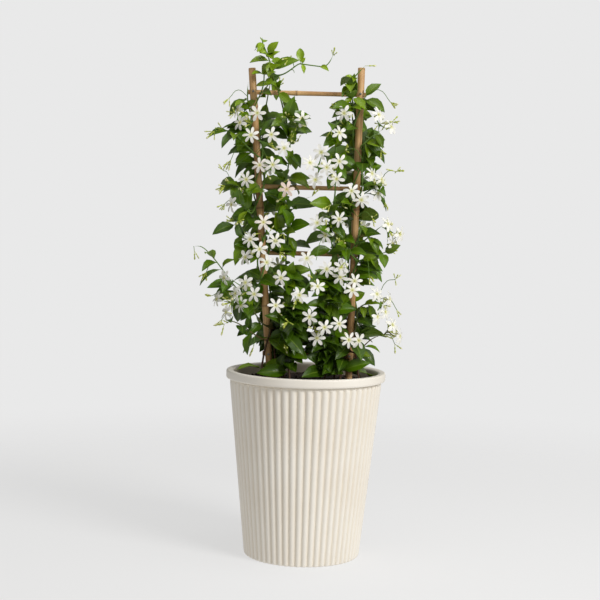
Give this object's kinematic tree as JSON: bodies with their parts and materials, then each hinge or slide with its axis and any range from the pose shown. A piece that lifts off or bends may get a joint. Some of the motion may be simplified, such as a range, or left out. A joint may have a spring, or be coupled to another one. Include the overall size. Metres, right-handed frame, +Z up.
{
  "type": "potted star jasmine",
  "caption": "Flowering star jasmine trained on a small bamboo ladder, in a fluted cream planter with a rounded rim.",
  "frame": {"origin": "middle of the planter's flat underside", "axes": "+Z up; -Y towards the front, where most blooms face; +X towards the upright stake, on the right as seen from the front"},
  "size_m": [0.2954, 0.225, 0.7265],
  "materials": {
    "pot": "smooth cream resin with a soft sheen",
    "soil": "dark crumbly potting soil",
    "bamboo": "dry tan bamboo cane with a dull sheen",
    "nail": "plain wire nail",
    "foliage": "leathery glossy leaves on thin green and brown stems",
    "bloom": "soft white petals on green stalks"
  },
  "bodies": {
    "root": {"pot": "pot", "soil": "soil", "stake_left": "bamboo", "stake_right": "bamboo", "rung_1": "bamboo", "rung_2": "bamboo", "rung_3": "bamboo", "rung_4": "bamboo", "nail_left_1": "nail", "nail_left_2": "nail", "nail_left_3": "nail", "nail_left_4": "nail", "nail_right_1": "nail", "nail_right_2": "nail", "nail_right_3": "nail", "nail_right_4": "nail", "vine_left_front": "foliage", "vine_left_back": "foliage", "vine_right_front": "foliage", "vine_right_back": "foliage", "vine_mid_left": "foliage", "vine_mid_right": "foliage", "vine_back_left": "foliage", "vine_back_right": "foliage", "spray_01": "bloom", "spray_02": "bloom", "spray_03": "bloom", "spray_04": "bloom", "spray_05": "bloom", "spray_06": "bloom", "spray_07": "bloom", "spray_08": "bloom", "spray_09": "bloom", "spray_10": "bloom", "spray_11": "bloom", "spray_12": "bloom", "spray_13": "bloom", "spray_14": "bloom", "spray_15": "bloom", "spray_16": "bloom", "spray_17": "bloom", "spray_18": "bloom", "spray_19": "bloom", "spray_20": "bloom", "spray_21": "bloom", "spray_22": "bloom", "spray_23": "bloom", "spray_24": "bloom", "spray_25": "bloom", "spray_26": "bloom", "spray_27": "bloom", "spray_28": "bloom", "spray_29": "bloom", "spray_30": "bloom", "spray_31": "bloom", "spray_32": "bloom", "spray_33": "bloom", "spray_34": "bloom", "spray_35": "bloom", "spray_36": "bloom"}
  },
  "joints": []
}
